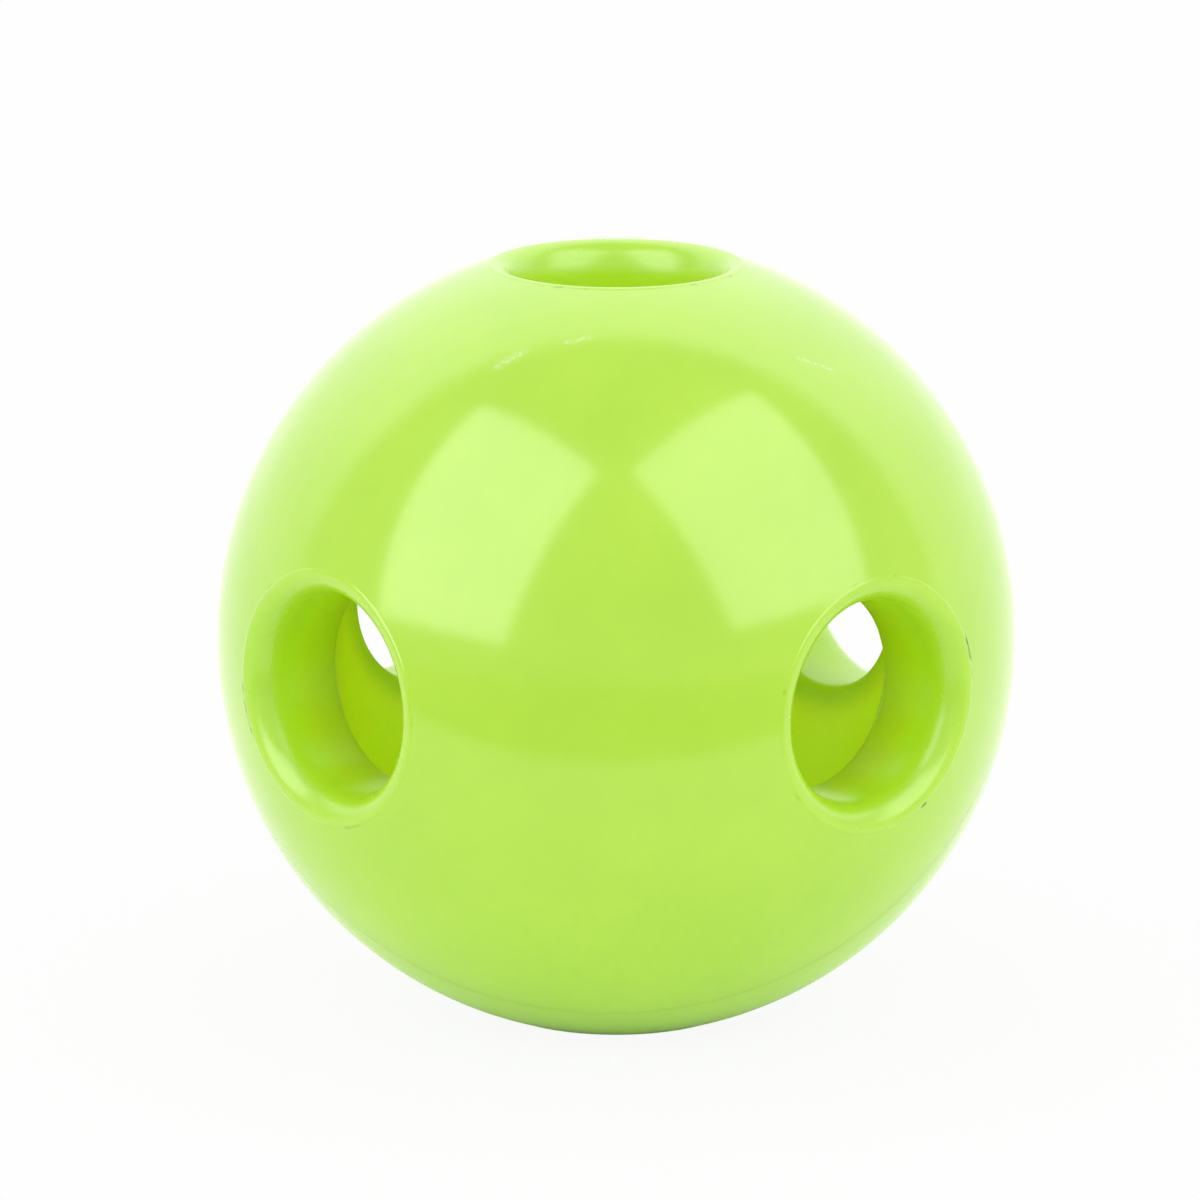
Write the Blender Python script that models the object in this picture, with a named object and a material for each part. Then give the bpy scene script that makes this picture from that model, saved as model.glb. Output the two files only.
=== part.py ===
"""A hollow ball with six round-lipped holes, moulded as two half shells and cemented together.

The holes lie on the X, Y and Z axes, with the origin at the ball's centre. The seam is the great
circle that clears all of them, so each half is a bowl with three whole holes, 120 degrees apart.
The lower half has a tongue round its rim. It stands in a groove in the upper half's rim, and a
ring of cement lies between the end of the tongue and the floor of the groove.
"""
import math

import bmesh
import bpy
from mathutils import Matrix, Vector

# Ball and holes, in metres
BALL_RADIUS = 0.0370
WALL = 0.0094
LIP_RADIUS = 0.01185
LIP_STEP = 0.00015
LIP_LAND = 0.0004
LIP_ROUND = 0.00225
INNER_ROUND = 0.0010

# Seam joint, in metres
TONGUE_WIDTH = 0.0026
TONGUE_HEIGHT = 0.0024
CEMENT_DEPTH = 0.0010
CLEARANCE = 0.0003

# Directions in the part's frame: the pole of the upper half, and the hole that it is turned to
UPPER_POLE = Vector((1, -1, 1)).normalized()
UPPER_HOLE = Vector((0, 0, 1))
HOLES_PER_HALF = 3

# Finishes: linear colours and how dull each surface is
LIME = (0.47, 0.85, 0.06)
SHELL_ROUGHNESS = 0.2
CEMENT_COLOUR = (0.62, 0.70, 0.30)
CEMENT_ROUGHNESS = 0.5

# Facets
MERIDIAN_STEPS = 12
RIM_STEPS_PER_HOLE = 16
OUTER_STEPS = 5
LIP_STEPS = 6
INNER_EDGE_STEPS = 2
INNER_STEPS = 4
SHARP_ANGLE = math.radians(40)
MERGE_DISTANCE = 0.000001

# Sizes that follow from the ones above
CAVITY_RADIUS = BALL_RADIUS - WALL
BORE_RADIUS = LIP_RADIUS - LIP_LAND - LIP_ROUND
RIM_HEIGHT = CLEARANCE / 2
JOINT_RADIUS = (BALL_RADIUS + CAVITY_RADIUS) / 2
GROOVE_WIDTH = TONGUE_WIDTH + 2 * CLEARANCE
GROOVE_DEPTH = TONGUE_HEIGHT + CEMENT_DEPTH + CLEARANCE
SECTOR = 2 * math.pi / HOLES_PER_HALF


def spread(first, last, steps):
    """Evenly spaced values from first to last, both included."""
    return [first + (last - first) * step / steps for step in range(steps + 1)]


def arc(centre, radius, first, last, steps):
    """Points of an arc as (distance from the hole's axis, height), angles taken from the axis."""
    return [(centre[0] + radius * math.sin(angle), centre[1] + radius * math.cos(angle))
            for angle in spread(first, last, steps)]


def lip_profile():
    """A hole's outer edge, from its step on the ball over a flat land and a round to the bore."""
    foot = math.sqrt(BALL_RADIUS ** 2 - LIP_RADIUS ** 2)
    crest = foot + LIP_STEP
    centre = (LIP_RADIUS - LIP_LAND, crest - LIP_ROUND)
    return ([(LIP_RADIUS, foot), (LIP_RADIUS, crest)]
            + arc(centre, LIP_ROUND, 0, -math.pi / 2, LIP_STEPS))


def inner_edge_profile():
    """A hole's inner edge, from the bore round to the hollow."""
    centre_distance = CAVITY_RADIUS + INNER_ROUND
    across = BORE_RADIUS + INNER_ROUND
    centre = (across, math.sqrt(centre_distance ** 2 - across ** 2))
    hollow_angle = -math.pi + math.atan2(centre[0], centre[1])
    return arc(centre, INNER_ROUND, -math.pi / 2, hollow_angle, INNER_EDGE_STEPS)


def sector_edge(radius):
    """Directions round one hole's third of a half: down a meridian, along the rim and back up."""
    rim_sine = RIM_HEIGHT / radius
    rim_angle = math.acos(rim_sine)
    rim_cosine = math.sin(rim_angle)

    def on_meridian(angle, turn):
        return Vector((math.sin(angle) * math.cos(turn), math.sin(angle) * math.sin(turn),
                       math.cos(angle)))

    down = [on_meridian(angle, SECTOR / 2) for angle in spread(0, rim_angle, MERIDIAN_STEPS)]
    along = [Vector((rim_cosine * math.cos(turn), rim_cosine * math.sin(turn), rim_sine))
             for turn in spread(SECTOR / 2, -SECTOR / 2, RIM_STEPS_PER_HOLE)]
    back = [on_meridian(angle, -SECTOR / 2) for angle in spread(rim_angle, 0, MERIDIAN_STEPS)]
    return down[:-1] + along + back[1:-1]


def add_strip(mesh, rows, closed):
    """Skin neighbouring rows of points with faces."""
    rings = [[mesh.verts.new(point) for point in row] for row in rows]
    count = len(rings[0])
    for first, second in zip(rings, rings[1:]):
        for index in range(count if closed else count - 1):
            after = (index + 1) % count
            mesh.faces.new((first[index], first[after], second[after], second[index]))


def add_hole_sector(mesh, turn, rim_profile):
    """One third of a half shell: a hole, the wall round it and its stretch of the rim."""
    hole = Vector((math.sqrt(2 / 3), 0, math.sqrt(1 / 3)))
    to_pole = Vector((-hole.z, 0, hole.x))
    sideways = Vector((0, 1, 0))
    outer_edge = sector_edge(BALL_RADIUS)
    inner_edge = sector_edge(CAVITY_RADIUS)
    spokes = []
    for direction in outer_edge:
        angle = math.atan2(direction.dot(sideways), direction.dot(to_pole))
        spokes.append(math.cos(angle) * to_pole + math.sin(angle) * sideways)

    def ring(point):
        return [hole * point[1] + spoke * point[0] for spoke in spokes]

    lip = [ring(point) for point in lip_profile()]
    mouth = [ring(point) for point in inner_edge_profile()]
    outer = [[edge.slerp(start.normalized(), part) * BALL_RADIUS
              for edge, start in zip(outer_edge, lip[0])]
             for part in spread(0, 1, OUTER_STEPS)[:-1]]
    inner = [[start.normalized().slerp(edge, part) * CAVITY_RADIUS
              for edge, start in zip(inner_edge, mouth[-1])]
             for part in spread(0, 1, INNER_STEPS)[1:]]
    rim_points = slice(MERIDIAN_STEPS, MERIDIAN_STEPS + RIM_STEPS_PER_HOLE + 1)
    rim = [[Vector((radius * math.cos(along), radius * math.sin(along), height))
            for along in spread(SECTOR / 2, -SECTOR / 2, RIM_STEPS_PER_HOLE)]
           for radius, height in rim_profile]
    rotation = Matrix.Rotation(turn, 3, "Z")
    for rows, closed in ((outer + lip + mouth + inner, True),
                         ([outer[0][rim_points]] + rim + [inner[-1][rim_points]], False)):
        add_strip(mesh, [[rotation @ point for point in row] for row in rows], closed)


def plastic(name, colour, roughness):
    """A plain material with the piece's colour and gloss."""
    material = bpy.data.materials.new(name)
    material.use_nodes = True
    shader = material.node_tree.nodes["Principled BSDF"]
    shader.inputs["Base Color"].default_value = (*colour, 1)
    shader.inputs["Roughness"].default_value = roughness
    shader.inputs["Metallic"].default_value = 0
    return material


def turned_to(pole, hole):
    """Rotation that takes +Z to the pole and puts a half's first hole on its axis."""
    forward = (hole - hole.dot(pole) * pole).normalized()
    return Matrix((forward, pole.cross(forward), pole)).transposed().to_euler()


def add_piece(name, mesh, material, rotation, parent):
    """Put a finished mesh into the scene as one piece of the ball."""
    mesh.materials.append(material)
    piece = bpy.data.objects.new(name, mesh)
    piece.rotation_euler = rotation
    piece.parent = parent
    bpy.context.collection.objects.link(piece)
    return piece


def half_shell(name, rim_profile, material, rotation, parent):
    """A bowl with three holes and its part of the seam joint."""
    shape = bmesh.new()
    for number in range(HOLES_PER_HALF):
        add_hole_sector(shape, number * SECTOR, rim_profile)
    bmesh.ops.remove_doubles(shape, verts=shape.verts, dist=MERGE_DISTANCE)
    bmesh.ops.recalc_face_normals(shape, faces=shape.faces)
    mesh = bpy.data.meshes.new(name)
    shape.to_mesh(mesh)
    shape.free()
    mesh.shade_smooth()
    mesh.set_sharp_from_angle(angle=SHARP_ANGLE)
    return add_piece(name, mesh, material, rotation, parent)


def joint_section(width, near, far):
    """Corners of the tongue, the groove or the cement, from the outer side inwards."""
    outer = JOINT_RADIUS + width / 2
    inner = JOINT_RADIUS - width / 2
    return [(outer, near), (outer, far), (inner, far), (inner, near)]


def cement_ring(name, material, rotation, parent):
    """A ring of set cement that fills the floor of the groove."""
    low = TONGUE_HEIGHT + CLEARANCE / 2
    section = joint_section(TONGUE_WIDTH, low + CEMENT_DEPTH, low)
    mesh = bpy.data.meshes.new(name)
    corners = [(radius, 0, height) for radius, height in section]
    edges = [(index, (index + 1) % len(corners)) for index in range(len(corners))]
    mesh.from_pydata(corners, edges, [])
    ring = add_piece(name, mesh, material, rotation, parent)
    turn = ring.modifiers.new("turn", "SCREW")
    turn.steps = turn.render_steps = HOLES_PER_HALF * RIM_STEPS_PER_HOLE
    turn.use_merge_vertices = True
    turn.merge_threshold = MERGE_DISTANCE
    turn.use_smooth_shade = False
    return ring


for leftover in list(bpy.data.objects):
    bpy.data.objects.remove(leftover)

ball = bpy.data.objects.new("ball", None)
bpy.context.collection.objects.link(ball)
upper_plastic = plastic("upper_shell_plastic", LIME, SHELL_ROUGHNESS)
lower_plastic = plastic("lower_shell_plastic", LIME, SHELL_ROUGHNESS)
set_cement = plastic("set_cement", CEMENT_COLOUR, CEMENT_ROUGHNESS)
upper_turn = turned_to(UPPER_POLE, UPPER_HOLE)
lower_turn = turned_to(-UPPER_POLE, -UPPER_HOLE)
groove = joint_section(GROOVE_WIDTH, RIM_HEIGHT, RIM_HEIGHT + GROOVE_DEPTH)
tongue = joint_section(TONGUE_WIDTH, RIM_HEIGHT, RIM_HEIGHT - TONGUE_HEIGHT)
half_shell("upper_half_shell", groove, upper_plastic, upper_turn, ball)
half_shell("lower_half_shell", tongue, lower_plastic, lower_turn, ball)
cement_ring("seam_cement_ring", set_cement, upper_turn, ball)
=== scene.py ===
"""A lime plastic ball with six round-lipped holes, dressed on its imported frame."""

import math

import bpy
from mathutils import Matrix, Vector


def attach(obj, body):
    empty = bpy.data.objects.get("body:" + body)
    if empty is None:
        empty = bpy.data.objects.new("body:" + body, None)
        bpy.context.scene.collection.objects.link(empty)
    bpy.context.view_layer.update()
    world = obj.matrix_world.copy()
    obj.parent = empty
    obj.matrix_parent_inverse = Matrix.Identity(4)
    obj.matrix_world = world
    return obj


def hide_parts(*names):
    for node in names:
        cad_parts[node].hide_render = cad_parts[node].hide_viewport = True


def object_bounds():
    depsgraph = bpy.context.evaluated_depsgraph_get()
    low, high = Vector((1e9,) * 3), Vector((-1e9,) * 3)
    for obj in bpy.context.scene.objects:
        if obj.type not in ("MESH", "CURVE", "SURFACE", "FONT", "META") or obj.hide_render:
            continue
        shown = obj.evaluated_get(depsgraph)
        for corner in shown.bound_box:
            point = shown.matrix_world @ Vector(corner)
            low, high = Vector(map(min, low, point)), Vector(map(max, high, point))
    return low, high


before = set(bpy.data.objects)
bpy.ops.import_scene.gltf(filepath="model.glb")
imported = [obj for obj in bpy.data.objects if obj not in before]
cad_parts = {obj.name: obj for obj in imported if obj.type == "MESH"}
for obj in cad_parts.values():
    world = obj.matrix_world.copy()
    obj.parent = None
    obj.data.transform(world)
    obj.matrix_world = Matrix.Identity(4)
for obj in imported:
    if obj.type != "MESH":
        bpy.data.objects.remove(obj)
solid_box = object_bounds()
bpy.context.scene.view_settings.view_transform = "Standard"

# Half shells
# Each half of the ball is a thick bowl of lime plastic, injection moulded and polished. Three side
# cores form its holes, and each leaves a rounded lip with a fine crease where it met the mould. The
# lower half's tongue stands in the upper half's groove, where a ring of cement holds it.

BALL_RADIUS = 0.0370
WALL = 0.0094
LIP_RADIUS = 0.01185
LIP_STEP = 0.00015
LIP_LAND = 0.0004
LIP_ROUND = 0.00225
LIP_DEPTH = 0.0032
INNER_ROUND = 0.0010
SEAM_CHAMFER = 0.00004
TONGUE_WIDTH = 0.0026
TONGUE_HEIGHT = 0.0024
GROOVE_WIDTH = 0.0032
GROOVE_DEPTH = 0.0037
UPPER_POLE = Vector((1, -1, 1)).normalized()
UPPER_HOLE = Vector((0, 0, 1))
MILLIMETRE = 0.001

LIME_DEEP = (0.460, 0.785, 0.034, 1)
LIME_CLEAR = (0.505, 0.830, 0.042, 1)
# The bore and hollow limes are painted brighter than the outside: painted light for light let in
BORE_LIME_AND_PAINTED_LIGHT = (0.68, 0.96, 0.015, 1)
HOLLOW_LIME_AND_PAINTED_LIGHT = (0.76, 0.99, 0.010, 1)
SCUFFED_LIME = (0.80, 0.95, 0.52, 1)
GRIME = (0.085, 0.150, 0.020, 1)

# How far light soaks into the plastic, in metres, and the share of it that each colour goes
OUTSIDE_SOAK = 0.003
BORE_SOAK = 0.008
HOLLOW_SOAK = 0.050
SOAK_TINT = (1.0, 1.0, 0.04, 1)
HOLLOW_SOAK_TINT = (0.45, 1.0, 0.02, 1)

# Where the finish changes, in metres
BORE_DEPTHS = (0.0005, 0.0060)
HOLLOW_DEPTHS = (WALL - INNER_ROUND, WALL - 0.0001)
HOLLOW_FROM_AXIS = (0.0098, 0.0130)
HOLLOW_FROM_SEAM = (0.003, 0.012)
LIP_SHADING = 0.0006
GRIME_EDGES = (0.00006, 0.00020)
CREASE_SIDE = (0.0012, 0.0009)

# Clouds to a metre, and the two turns of the hairlines in radians
PIGMENT_CLOUDS = 70
MOTTLE = 300
CREASE_FLECKS = 420
ORANGE_PEEL = 650
GRIME_CRUMBS = 900
SCUFF_GRAIN = 2200
HAIRLINE_STRETCH = (40, 2200, 2200)
HAIRLINE_TURNS = ((0.3, 0.9, 0.2), (1.2, 0.1, 2.1))

# Marks, in millimetres: the middle and reach of each grimy stretch, and each scuff's ends and width
GRIMY_STRETCHES = ((Vector((35.0, 11.4, 3.4)), 1.5), (Vector((35.0, 6.0, -10.4)), 0.45),
                   (Vector((-11.6, -35.0, -3.2)), 3.2))
SCUFFS = ((Vector((7.4, -20.9, 29.7)), Vector((8.4, -18.7, 30.8)), 0.8),
          (Vector((10.9, -15.7, 31.7)), Vector((12.1, -13.9, 32.1)), 0.55),
          (Vector((22.2, 2.0, 29.5)), Vector((23.5, 5.3, 28.1)), 0.45))


def feed(slot, value):
    """Give a node's input a number, a colour or the output of another node."""
    if isinstance(value, Amount):
        value = value.socket
    if isinstance(value, bpy.types.NodeSocket):
        slot.id_data.links.new(value, slot)
    else:
        slot.default_value = value


class Amount:
    """A number that a node tree works out, written in ordinary arithmetic."""

    def __init__(self, socket):
        self.socket = socket

    def worked(self, operation, *others):
        node = self.socket.id_data.nodes.new("ShaderNodeMath")
        node.operation = operation
        for slot, value in zip(node.inputs, (self, *others)):
            feed(slot, value)
        return Amount(node.outputs[0])

    def __add__(self, other):
        return self.worked("ADD", other)

    def __sub__(self, other):
        return self.worked("SUBTRACT", other)

    def __mul__(self, other):
        return self.worked("MULTIPLY", other)

    def __truediv__(self, other):
        return self.worked("DIVIDE", other)

    def __abs__(self):
        return self.worked("ABSOLUTE")

    def larger(self, other):
        return self.worked("MAXIMUM", other)

    def root(self):
        return self.worked("SQRT")

    def sine(self):
        return self.worked("SINE")

    def cosine(self):
        return self.worked("COSINE")

    def flipped(self):
        """One less the amount."""
        return self * -1 + 1

    def ramp(self, low, high, smooth=False):
        """The amount's way from low to high, held to 0 and 1 at the ends."""
        node = self.socket.id_data.nodes.new("ShaderNodeMapRange")
        node.interpolation_type = "SMOOTHSTEP" if smooth else "LINEAR"
        for name, value in (("Value", self), ("From Min", low), ("From Max", high)):
            feed(node.inputs[name], value)
        return Amount(node.outputs[0])


def put(tree, kind, settings=(), **feeds):
    """Add a node, make its settings and feed its inputs, whose names have _ for a space."""
    node = tree.nodes.new(kind)
    for name, value in dict(settings).items():
        setattr(node, name, value)
    for name, value in feeds.items():
        feed(node.inputs[name.replace("_", " ")], value)
    return node


def spaced(tree, operation, *vectors):
    """A vector sum, its output being a vector, or a number where the sum gives one."""
    node = put(tree, "ShaderNodeVectorMath", {"operation": operation})
    for slot, value in zip(node.inputs, vectors):
        feed(slot, value)
    if operation in ("LENGTH", "DOT_PRODUCT"):
        return Amount(node.outputs["Value"])
    return node.outputs[0]


def noise(tree, place, scale, detail=2, roughness=0.5):
    """Cloudy variation from 0 to 1, scale being clouds to a metre."""
    return Amount(put(tree, "ShaderNodeTexNoise", Vector=place, Scale=scale, Detail=detail,
                      Roughness=roughness).outputs[0])


def blended(tree, share, first, second):
    """One colour laid over another by a share from 0 to 1."""
    node = put(tree, "ShaderNodeMix", {"data_type": "RGBA"})
    feed(node.inputs[0], share)
    feed(node.inputs[6], first)
    feed(node.inputs[7], second)
    return node.outputs[2]


def strongest(marks):
    """The strongest of several marks at each point."""
    first, *others = marks
    for mark in others:
        first = first.larger(mark)
    return first


def spot(tree, place, middle, reach):
    """A round mark that is whole out to most of its reach."""
    distance = spaced(tree, "LENGTH", spaced(tree, "SUBTRACT", place, middle))
    return distance.ramp(reach * 0.7, reach).flipped()


def streak(tree, place, start, end, width):
    """A mark along a line on the surface, 1 on the line and fading to 0 at its width."""
    along = end - start
    offset = spaced(tree, "SUBTRACT", place, start)
    share = (spaced(tree, "DOT_PRODUCT", offset, along) / along.length_squared).ramp(0, 1)
    scaled = put(tree, "ShaderNodeVectorMath", {"operation": "SCALE"}, Scale=share)
    feed(scaled.inputs[0], along)
    distance = spaced(tree, "LENGTH", spaced(tree, "SUBTRACT", offset, scaled.outputs[0]))
    return distance.ramp(0, width, smooth=True).flipped()


def lime_plastic():
    """Polished lime plastic: cloudy pigment, orange peel, hairlines, scuffs and grimy creases.

    The bores are duller, and light soaks through the wall into the hollow. The bores and the hollow
    are painted a brighter lime too: painted light for the light that reaches them.
    """
    crease_height = math.sqrt(BALL_RADIUS ** 2 - LIP_RADIUS ** 2)
    finish = bpy.data.materials.new("lime_plastic")
    finish.use_nodes = True
    tree = finish.node_tree
    shader = tree.nodes["Principled BSDF"]
    place = put(tree, "ShaderNodeTexCoord").outputs["Object"]

    # How deep a point is in the ball, and how far from the nearest hole's axis and from the seam
    apart = put(tree, "ShaderNodeSeparateXYZ", Vector=place).outputs
    along = strongest([abs(Amount(part)) for part in apart])
    reach = spaced(tree, "LENGTH", place)
    depth = reach * -1 + BALL_RADIUS
    across = (reach * reach - along * along).larger(0).root()
    off_seam = abs(spaced(tree, "DOT_PRODUCT", place, UPPER_POLE))

    # The lips, the bores and the hollow, whose glow keeps clear of the mouths and the seam. The bore
    # and hollow masks also lay on painted light, a brighter lime.
    lipped = across.ramp(LIP_RADIUS - LIP_SHADING, LIP_RADIUS).flipped()
    bored = depth.ramp(*BORE_DEPTHS, smooth=True)
    hollow = (depth.ramp(*HOLLOW_DEPTHS, smooth=True) * across.ramp(*HOLLOW_FROM_AXIS, smooth=True)
              * off_seam.ramp(*HOLLOW_FROM_SEAM, smooth=True))

    # Grime lies in the crease in flecks, thick in a few stretches
    flecks = noise(tree, place, CREASE_FLECKS).ramp(0.60, 0.68)
    crumbs = noise(tree, place, GRIME_CRUMBS).ramp(0.44, 0.56)
    thick = strongest([spot(tree, place, middle * MILLIMETRE, spread * MILLIMETRE)
                       for middle, spread in GRIMY_STRETCHES])
    in_crease = abs(across - LIP_RADIUS).ramp(*GRIME_EDGES, smooth=True).flipped()
    outside = along.ramp(*[crease_height - side for side in CREASE_SIDE])
    grime = (flecks * 0.25).larger(thick * crumbs * 0.95) * in_crease * outside

    # Scuffs from handling, white where the polish is broken
    scuffs = strongest([streak(tree, place, start * MILLIMETRE, end * MILLIMETRE, width * MILLIMETRE)
                        for start, end, width in SCUFFS])
    scuffs = scuffs * noise(tree, place, SCUFF_GRAIN, 3, 0.7).ramp(0.35, 0.70)

    # Hairline scratches in two directions
    hairlines = strongest([
        noise(tree, put(tree, "ShaderNodeMapping", Vector=place, Rotation=turn,
                        Scale=HAIRLINE_STRETCH).outputs[0], 1, 1).ramp(0.70, 0.74)
        for turn in HAIRLINE_TURNS])

    # Colour, from the pigment to what lies on it
    colour = blended(tree, noise(tree, place, PIGMENT_CLOUDS, 4, 0.6).ramp(0.3, 0.7),
                     LIME_DEEP, LIME_CLEAR)
    # The bore and hollow limes are painted light: brighter than the plastic for the light let in
    for share, paint in ((bored, BORE_LIME_AND_PAINTED_LIGHT), (hollow, HOLLOW_LIME_AND_PAINTED_LIGHT), (grime, GRIME),
                         (scuffs * 0.6, SCUFFED_LIME)):
        colour = blended(tree, share, colour, paint)
    feed(shader.inputs["Base Color"], colour)

    # What dulls the polish, and by how much
    dullness = noise(tree, place, MOTTLE, 3) * 0.05 + 0.11
    for share, dulled in ((hairlines, 0.06), (scuffs, 0.30), (grime, 0.40), (lipped, 0.10),
                          (bored, 0.18), (hollow, 0.10)):
        dullness = dullness + share * dulled
    feed(shader.inputs["Roughness"], dullness)
    shader.inputs["IOR"].default_value = 1.6
    shader.inputs["Specular IOR Level"].default_value = 0.6
    feed(shader.inputs["Subsurface Weight"], bored * 0.7 + 0.3)
    feed(shader.inputs["Subsurface Scale"], hollow * (HOLLOW_SOAK - BORE_SOAK)
         + bored * (BORE_SOAK - OUTSIDE_SOAK) + OUTSIDE_SOAK)
    feed(shader.inputs["Subsurface Radius"], blended(tree, hollow, SOAK_TINT, HOLLOW_SOAK_TINT))

    # Orange peel and grime stand out of the surface, hairlines and scuffs are cut into it
    relief = noise(tree, place, ORANGE_PEEL) * 0.5 - hairlines * 0.25 + grime * 1.5 - scuffs * 0.6
    bump = put(tree, "ShaderNodeBump", Strength=0.12, Distance=0.00006, Height=relief)
    feed(shader.inputs["Normal"], bump.outputs[0])
    return finish


def half_shell_rule():
    """Node tree for a bowl with three lipped holes and half of the seam joint, its pole along +Z.

    One third of the bowl is laid out round one hole. Its rows run from the seam over the outside,
    the lip, the bore and the inside back to the seam, and its columns are spokes from the hole.
    """
    side_spokes, rim_spokes, spokes = 48, 64, 160
    outer_rows, step_rows, lip_rows, bore_rows, mouth_rows, inner_rows = 44, 6, 30, 6, 16, 26
    merge_distance = 0.000002
    sharp_angle = math.radians(7)
    thirds = 3
    hole_out, hole_up = math.sqrt(2 / 3), math.sqrt(1 / 3)
    rule = bpy.data.node_groups.new("half_shell_rule", "GeometryNodeTree")
    rule.interface.new_socket("Mesh", in_out="INPUT", socket_type="NodeSocketGeometry")
    for name in ("Ball radius", "Wall", "Lip radius", "Lip step", "Lip land", "Lip round",
                 "Lip depth", "Inner round", "Seam chamfer", "Joint width", "Joint step"):
        rule.interface.new_socket(name, in_out="INPUT", socket_type="NodeSocketFloat")
    rule.interface.new_socket("Plastic", in_out="INPUT", socket_type="NodeSocketMaterial")
    rule.interface.new_socket("Mesh", in_out="OUTPUT", socket_type="NodeSocketGeometry")
    sizes = rule.nodes.new("NodeGroupInput").outputs
    ball, wall, lip_edge, step, land, lip, lip_deep, mouth, chamfer, joint_width, joint_step = [
        Amount(socket) for socket in sizes[1:12]]
    joined = rule.nodes.new("GeometryNodeJoinGeometry")

    # Centres of the lip's round and of the round at the bore's inner end
    hollow = ball - wall
    crease = (lip_edge / ball).worked("ARCSINE")
    crease_up = ball * crease.cosine()
    lip_across = lip_edge - land
    lip_up = crease_up + step - lip_deep
    bore = lip_across - lip
    mouth_far = hollow + mouth
    mouth_across = bore + mouth
    mouth_up = (mouth_far * mouth_far - mouth_across * mouth_across).root()
    mouth_turn = (mouth_across / mouth_far).worked("ARCSINE")

    # Where a row and a spoke of a strip are, each from 0 to 1
    position = put(rule, "GeometryNodeInputPosition").outputs[0]
    apart = put(rule, "ShaderNodeSeparateXYZ", Vector=position)
    spoke_share = Amount(apart.outputs["X"]) + 0.5
    row_share = Amount(apart.outputs["Y"]) + 0.5

    # Spokes turn round the hole from the pole, with one at each corner of the third
    seam_sine = chamfer / ball
    seam_cosine = (seam_sine * seam_sine).flipped().root()
    half_third = math.pi / thirds
    corner = (seam_cosine * math.sin(half_third)).worked(
        "ARCTAN2", seam_sine * hole_out - seam_cosine * (hole_up * math.cos(half_third)))
    rim_arc = corner * -2 + 2 * math.pi
    first_corner = side_spokes / spokes
    second_corner = 1 - first_corner
    turn = (corner * spoke_share.ramp(0, first_corner)
            + rim_arc * spoke_share.ramp(first_corner, second_corner)
            + corner * spoke_share.ramp(second_corner, 1))

    def seam_angle(angle):
        """How far from the hole's axis a spoke meets the seam."""
        up = angle.cosine() * hole_out
        size = (up * up + hole_up ** 2).root()
        return up.worked("ARCTAN2", hole_up) + (seam_sine / size).worked("ARCCOSINE")

    def side_angle(angle):
        """How far from the hole's axis a spoke meets the side of its third."""
        return (angle * 0 + math.sqrt(2)).worked("ARCTAN2", angle.cosine() + abs(angle.sine()))

    def placed(across, up, angle):
        """A point at a distance from the hole's axis, a height along it and a turn round it."""
        level = across * angle.cosine()
        return put(rule, "ShaderNodeCombineXYZ", X=up * hole_out - level * hole_up,
                   Y=across * angle.sine(), Z=up * hole_up + level * hole_out).outputs[0]

    def strip(columns, rows, point):
        """Rows and columns of faces with their corners at a point that the shares work out."""
        grid = put(rule, "GeometryNodeMeshGrid", Size_X=1, Size_Y=1, Vertices_X=columns + 1,
                   Vertices_Y=rows + 1)
        laid = put(rule, "GeometryNodeSetPosition", Geometry=grid.outputs[0], Position=point)
        feed(joined.inputs[0], laid.outputs[0])

    def between(first, last):
        """The way from the first row's value to the last row's."""
        return first + (last - first) * row_share

    # Outside, step, lip, bore, mouth and inside
    edge = side_angle(turn).worked("MINIMUM", seam_angle(turn))
    outer_turn = between(edge, crease)
    strip(spokes, outer_rows, placed(ball * outer_turn.sine(), ball * outer_turn.cosine(), turn))
    below_crest = row_share.flipped() * row_share.flipped()
    strip(spokes, step_rows, placed(between(lip_edge, lip_across),
                                    crease_up + step * below_crest.flipped(), turn))
    lip_turn = row_share * (-math.pi / 2)
    strip(spokes, lip_rows, placed(lip_across + lip * lip_turn.sine(),
                                   lip_up + lip_deep * lip_turn.cosine(), turn))
    strip(spokes, bore_rows, placed(bore, between(lip_up, mouth_up), turn))
    edge_turn = between(mouth_turn * 0 - math.pi / 2, mouth_turn - math.pi)
    strip(spokes, mouth_rows, placed(mouth_across + mouth * edge_turn.sine(),
                                     mouth_up + mouth * edge_turn.cosine(), turn))
    inner_turn = between(mouth_turn, edge)
    strip(spokes, inner_rows, placed(hollow * inner_turn.sine(), hollow * inner_turn.cosine(), turn))

    # The rim runs from the inside out, over the tongue or the groove
    joint_middle = (ball + hollow) * 0.5
    joint_inner = joint_middle - joint_width * 0.5
    joint_outer = joint_middle + joint_width * 0.5
    flush = chamfer * 0
    rim = ((hollow * seam_cosine, hollow * seam_sine), (hollow + chamfer, flush),
           (joint_inner, flush), (joint_inner, joint_step),
           (joint_outer, joint_step), (joint_outer, flush),
           (ball - chamfer, flush), (ball * seam_cosine, ball * seam_sine))
    row = (row_share * (len(rim) - 1)).worked("ROUND")
    chosen = []
    for values in zip(*rim):
        switch = put(rule, "GeometryNodeIndexSwitch", {"data_type": "FLOAT"}, Index=row)
        while len(switch.index_switch_items) < len(rim):
            switch.index_switch_items.new()
        for slot, value in zip(switch.inputs[1:], values):
            feed(slot, value)
        chosen.append(Amount(switch.outputs[0]))
    rim_across, rim_height = chosen
    rim_turn = corner + rim_arc * spoke_share
    rim_angle = seam_angle(rim_turn)
    seam_point = put(rule, "ShaderNodeSeparateXYZ",
                     Vector=placed(rim_angle.sine(), rim_angle.cosine(), rim_turn))
    rim_radius = rim_across / seam_cosine
    strip(rim_spokes, len(rim) - 1,
          put(rule, "ShaderNodeCombineXYZ", X=rim_radius * seam_point.outputs["X"],
              Y=rim_radius * seam_point.outputs["Y"], Z=rim_height).outputs[0])

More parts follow.
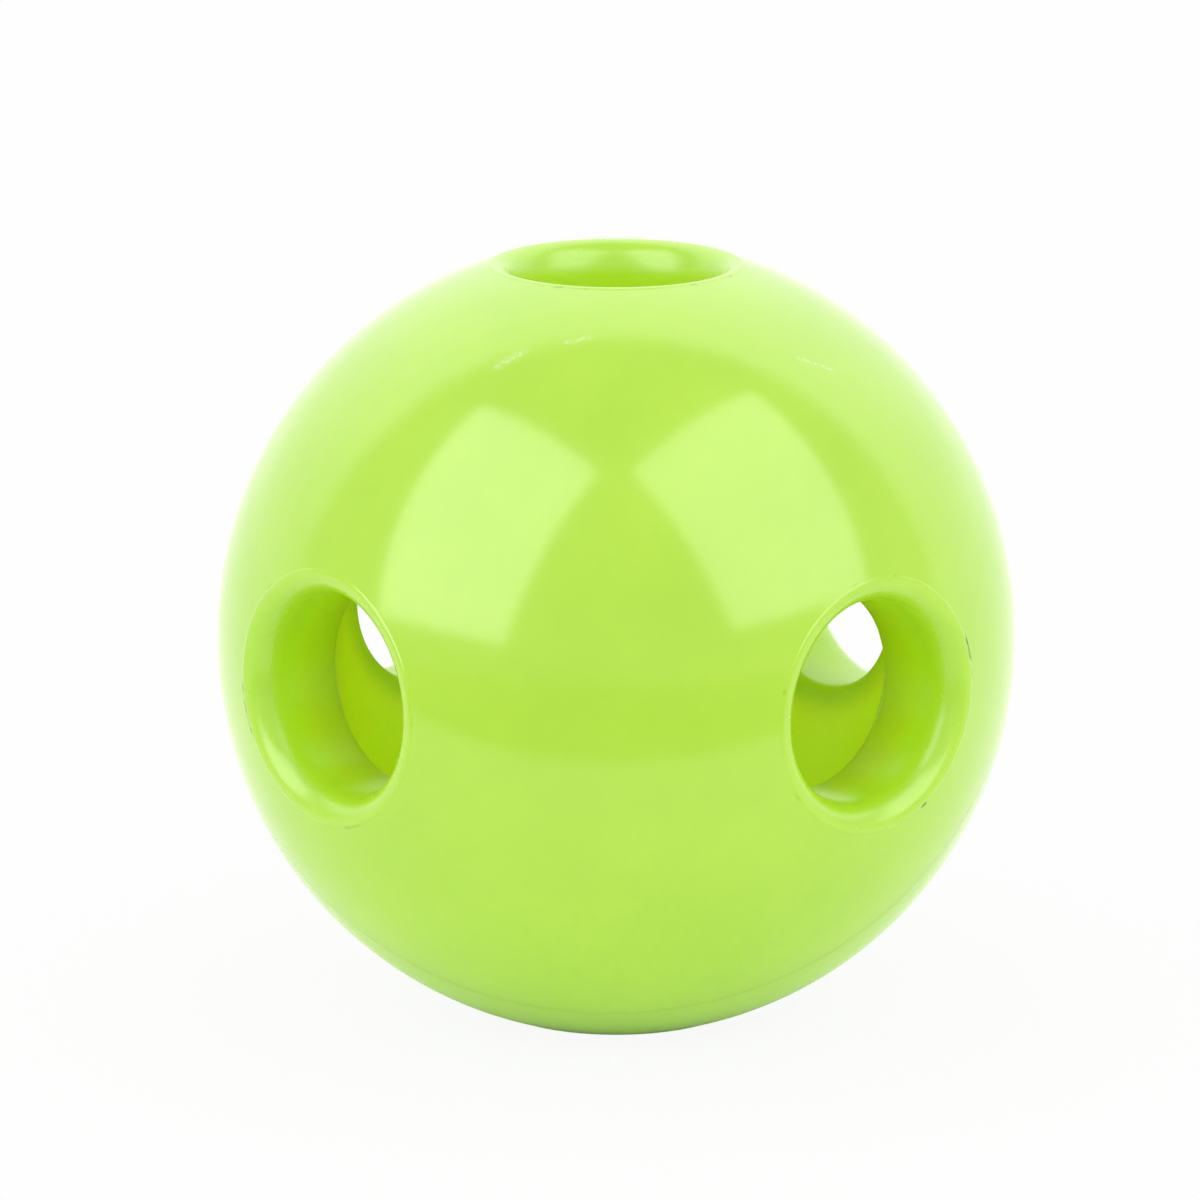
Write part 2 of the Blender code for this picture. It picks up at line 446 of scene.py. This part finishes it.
    # Three such thirds make the bowl
    middles = put(rule, "GeometryNodeMeshLine", Count=thirds, Offset=(0, 0, 0))
    third_turn = Amount(put(rule, "GeometryNodeInputIndex").outputs[0]) * (2 * half_third)
    copies = put(rule, "GeometryNodeInstanceOnPoints", Points=middles.outputs[0],
                 Instance=joined.outputs[0],
                 Rotation=put(rule, "ShaderNodeCombineXYZ", Z=third_turn).outputs[0])
    whole = put(rule, "GeometryNodeRealizeInstances", Geometry=copies.outputs[0])
    closed = put(rule, "GeometryNodeMergeByDistance", Geometry=whole.outputs[0],
                 Distance=merge_distance)
    outward = put(rule, "GeometryNodeFlipFaces", Mesh=closed.outputs[0])
    smooth = put(rule, "GeometryNodeSetShadeSmooth", Geometry=outward.outputs[0])
    folded = Amount(put(rule, "GeometryNodeInputMeshEdgeAngle").outputs[0]).worked(
        "GREATER_THAN", sharp_angle)
    creased = put(rule, "GeometryNodeSetShadeSmooth", {"domain": "EDGE"},
                  Geometry=smooth.outputs[0], Selection=folded, Shade_Smooth=False)
    dressed = put(rule, "GeometryNodeSetMaterial", Geometry=creased.outputs[0],
                  Material=sizes["Plastic"])
    feed(rule.nodes.new("NodeGroupOutput").inputs[0], dressed.outputs[0])
    return rule


def half_shell(name, rule, pole, hole, sizes):
    """One bowl made by the rule, turned so that its pole and its first hole point as asked."""
    piece = bpy.data.objects.new(name, bpy.data.meshes.new(name))
    bpy.context.scene.collection.objects.link(piece)
    maker = piece.modifiers.new("rule", "NODES")
    maker.node_group = rule
    for socket in rule.interface.items_tree:
        if socket.in_out == "INPUT" and socket.name in sizes:
            maker[socket.identifier] = sizes[socket.name]
    evaluated = piece.evaluated_get(bpy.context.evaluated_depsgraph_get())
    mesh = bpy.data.meshes.new_from_object(evaluated)
    piece.modifiers.remove(maker)
    forward = (hole - hole.dot(pole) * pole).normalized()
    mesh.transform(Matrix((forward, pole.cross(forward), pole)).transposed().to_4x4())
    piece.data = mesh
    return piece


shell_sizes = {"Ball radius": BALL_RADIUS, "Wall": WALL, "Lip radius": LIP_RADIUS,
               "Lip step": LIP_STEP, "Lip land": LIP_LAND, "Lip round": LIP_ROUND,
               "Lip depth": LIP_DEPTH, "Inner round": INNER_ROUND, "Seam chamfer": SEAM_CHAMFER,
               "Plastic": lime_plastic()}
shell_rule = half_shell_rule()
upper_shell = half_shell("upper_shell", shell_rule, UPPER_POLE, UPPER_HOLE,
                         {**shell_sizes, "Joint width": GROOVE_WIDTH, "Joint step": GROOVE_DEPTH})
lower_shell = half_shell("lower_shell", shell_rule, -UPPER_POLE, -UPPER_HOLE,
                         {**shell_sizes, "Joint width": TONGUE_WIDTH, "Joint step": -TONGUE_HEIGHT})
for shell, node, slot in ((upper_shell, "upper_half_shell", "upper_shell_plastic"),
                          (lower_shell, "lower_half_shell", "lower_shell_plastic")):
    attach(shell, "root")
    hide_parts(node)

# Seam cement
# A ring of clear solvent cement set in the floor of the groove. It takes the colour of the plastic
# that it has softened, and holds small bubbles.

CEMENT_DEEP = (0.56, 0.66, 0.22, 1)
CEMENT_CLEAR = (0.68, 0.75, 0.38, 1)
CEMENT_CLOUDS = 400
CEMENT_BUBBLES = 1800
set_cement = bpy.data.materials.new("set_cement")
set_cement.use_nodes = True
cement_tree = set_cement.node_tree
cement_place = put(cement_tree, "ShaderNodeTexCoord").outputs["Object"]
cement_clouds = noise(cement_tree, cement_place, CEMENT_CLOUDS, 3)
cement_shader = cement_tree.nodes["Principled BSDF"]
feed(cement_shader.inputs["Base Color"],
     blended(cement_tree, cement_clouds.ramp(0.3, 0.7), CEMENT_DEEP, CEMENT_CLEAR))
feed(cement_shader.inputs["Roughness"], cement_clouds * 0.2 + 0.3)
bubbles = put(cement_tree, "ShaderNodeTexVoronoi", Vector=cement_place, Scale=CEMENT_BUBBLES)
cement_bump = put(cement_tree, "ShaderNodeBump", Strength=0.3, Distance=0.0001,
                  Height=bubbles.outputs["Distance"])
feed(cement_shader.inputs["Normal"], cement_bump.outputs[0])
cement_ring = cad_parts["seam_cement_ring"]
cement_ring.material_slots[0].material = set_cement

# Floor
# A sheet of white card that the ball stands on. Its near edge lies just in front of the ball, and
# what is past it shows in the ball's gloss as a duller band. The card is painted brighter in the
# ball's gloss: painted light for the softboxes' light on it.

CAMERA_AZIMUTH = math.radians(48.1)
CARD_REACH = 3
CARD_FRONT = 0.112
CARD_EDGE = 0.01
CARD_WHITE = 0.90
CARD_FIBRES = 900
CARD_PAINTED_LIGHT_IN_GLOSS = 0.45
PAST_CARD = (0.6, 0.6, 0.6, 1)
SEEN_WHITE_SHARE = 0.92
to_camera = Vector((math.sin(CAMERA_AZIMUTH), -math.cos(CAMERA_AZIMUTH), 0))
to_right = Vector((math.cos(CAMERA_AZIMUTH), math.sin(CAMERA_AZIMUTH), 0))
floor_height = solid_box[0][2]
card_mesh = bpy.data.meshes.new("floor")
card_mesh.from_pydata([(x * CARD_REACH, y * CARD_REACH, floor_height)
                       for x, y in ((-1, -1), (1, -1), (1, 1), (-1, 1))], [], [(0, 1, 2, 3)])
floor = bpy.data.objects.new("floor", card_mesh)
bpy.context.scene.collection.objects.link(floor)
white_card = bpy.data.materials.new("white_card")
white_card.use_nodes = True
card_tree = white_card.node_tree
card_tree.nodes.remove(card_tree.nodes["Principled BSDF"])
card_place = put(card_tree, "ShaderNodeTexCoord").outputs["Object"]
to_front = spaced(card_tree, "DOT_PRODUCT", card_place, to_camera)
past_edge = to_front.ramp(CARD_FRONT, CARD_FRONT + CARD_EDGE)


def in_gloss(tree):
    """1 for a ray that has left a glossy or clear surface, and 0 for the rest."""
    rays = put(tree, "ShaderNodeLightPath").outputs
    return Amount(rays["Is Glossy Ray"]).larger(Amount(rays["Is Transmission Ray"]))


def in_picture(tree):
    """1 for a ray straight from the camera, and 0 for the rest."""
    return Amount(put(tree, "ShaderNodeLightPath").outputs["Is Camera Ray"])


paper = noise(card_tree, card_place, CARD_FIBRES, 3) * 0.01 + CARD_WHITE
# Painted light: in the ball's gloss the card is painted brighter, for the softboxes' light on it
paper = paper * (in_gloss(card_tree) * CARD_PAINTED_LIGHT_IN_GLOSS + 1)
card_white = put(card_tree, "ShaderNodeCombineColor", Red=paper, Green=paper, Blue=paper)
lit_card = put(card_tree, "ShaderNodeBsdfDiffuse",
               Color=blended(card_tree, past_edge, card_white.outputs[0], PAST_CARD))
bright_card = put(card_tree, "ShaderNodeEmission", Color=(1, 1, 1, 1), Strength=1)
card_mix = put(card_tree, "ShaderNodeMixShader")
feed(card_mix.inputs[0], in_picture(card_tree) * SEEN_WHITE_SHARE)
feed(card_mix.inputs[1], lit_card.outputs[0])
feed(card_mix.inputs[2], bright_card.outputs[0])
feed(card_tree.nodes["Material Output"].inputs["Surface"], card_mix.outputs[0])
card_mesh.materials.append(white_card)

# Light
# A white room lights the ball, most from the camera's side and less from above and behind. Two
# softboxes, left and right of the camera and above the ball, and white paper behind the ball show
# in its gloss.

SOFTBOX_DISTANCE = 0.6
SOFTBOXES = (("left_softbox", -51.5, 38.5, 0.49, 0.65, 2.4),
             ("right_softbox", 56, 41.5, 0.54, 0.62, 2.1))
ROOM_LIGHT = 1.36
HIGH_ROOM_LIGHT = 0.95
PAPER_LIGHT = 0.88
ROOM_GLOSS = 0.85
PAPER_GLOSS = 1.4
HIGH_PAPER_GLOSS = 2.0
PAPER_EDGE = (0.24, 0.38)
HIGH_UP = (0.2, 0.7)
for name, turn_degrees, rise_degrees, width, height, power in SOFTBOXES:
    lamp = bpy.data.lights.new(name, "AREA")
    lamp.shape = "RECTANGLE"
    lamp.size = width
    lamp.size_y = height
    lamp.energy = power
    level = (to_camera * math.cos(math.radians(turn_degrees))
             + to_right * math.sin(math.radians(turn_degrees)))
    rise = math.radians(rise_degrees)
    aim = level * math.cos(rise) + Vector((0, 0, math.sin(rise)))
    softbox = bpy.data.objects.new(name, lamp)
    softbox.location = aim * SOFTBOX_DISTANCE
    softbox.rotation_euler = aim.to_track_quat("Z", "Y").to_euler()
    softbox.visible_diffuse = False
    bpy.context.scene.collection.objects.link(softbox)
room = bpy.data.worlds.new("white_room")
room.use_nodes = True
bpy.context.scene.world = room
room_tree = room.node_tree
room_way = put(room_tree, "ShaderNodeTexCoord").outputs["Generated"]
paper_share = spaced(room_tree, "DOT_PRODUCT", room_way, -to_camera).ramp(*PAPER_EDGE, smooth=True)
height_share = Amount(put(room_tree, "ShaderNodeSeparateXYZ", Vector=room_way).outputs["Z"])
height_share = height_share.ramp(*HIGH_UP)
paper_gloss = height_share * (HIGH_PAPER_GLOSS - PAPER_GLOSS) + PAPER_GLOSS
gloss = paper_share * (paper_gloss - ROOM_GLOSS) + ROOM_GLOSS
front_light = height_share * (HIGH_ROOM_LIGHT - ROOM_LIGHT) + ROOM_LIGHT
room_light = front_light - paper_share * (front_light - PAPER_LIGHT)
shown = in_picture(room_tree)
strength = in_gloss(room_tree) * (gloss - room_light) + room_light
feed(room_tree.nodes["Background"].inputs["Strength"], strength * shown.flipped() + shown)
room_tree.nodes["Background"].inputs["Color"].default_value = (1, 1, 1, 1)

# Camera
# A long lens from a little above the ball, with the ball low and right of the picture's centre.

CAMERA_RISE = math.radians(14)
CAMERA_DISTANCE = 0.74
PICTURE_WIDTH = 1200
BALL_CENTRE_IN_PICTURE = (616.2, 635.2)
BALL_RADIUS_IN_PICTURE = 399.3
lens = bpy.data.cameras.new("camera")
lens.sensor_width = 36
far = CAMERA_DISTANCE / BALL_RADIUS
lens.lens = lens.sensor_width * BALL_RADIUS_IN_PICTURE * math.sqrt(far * far - 1) / PICTURE_WIDTH
lens.shift_x = 0.5 - BALL_CENTRE_IN_PICTURE[0] / PICTURE_WIDTH
lens.shift_y = BALL_CENTRE_IN_PICTURE[1] / PICTURE_WIDTH - 0.5
lens.clip_start = 0.01
camera = bpy.data.objects.new("camera", lens)
camera_way = to_camera * math.cos(CAMERA_RISE) + Vector((0, 0, math.sin(CAMERA_RISE)))
camera.location = camera_way * CAMERA_DISTANCE
camera.rotation_euler = camera_way.to_track_quat("Z", "Y").to_euler()
bpy.context.scene.collection.objects.link(camera)
bpy.context.scene.camera = camera
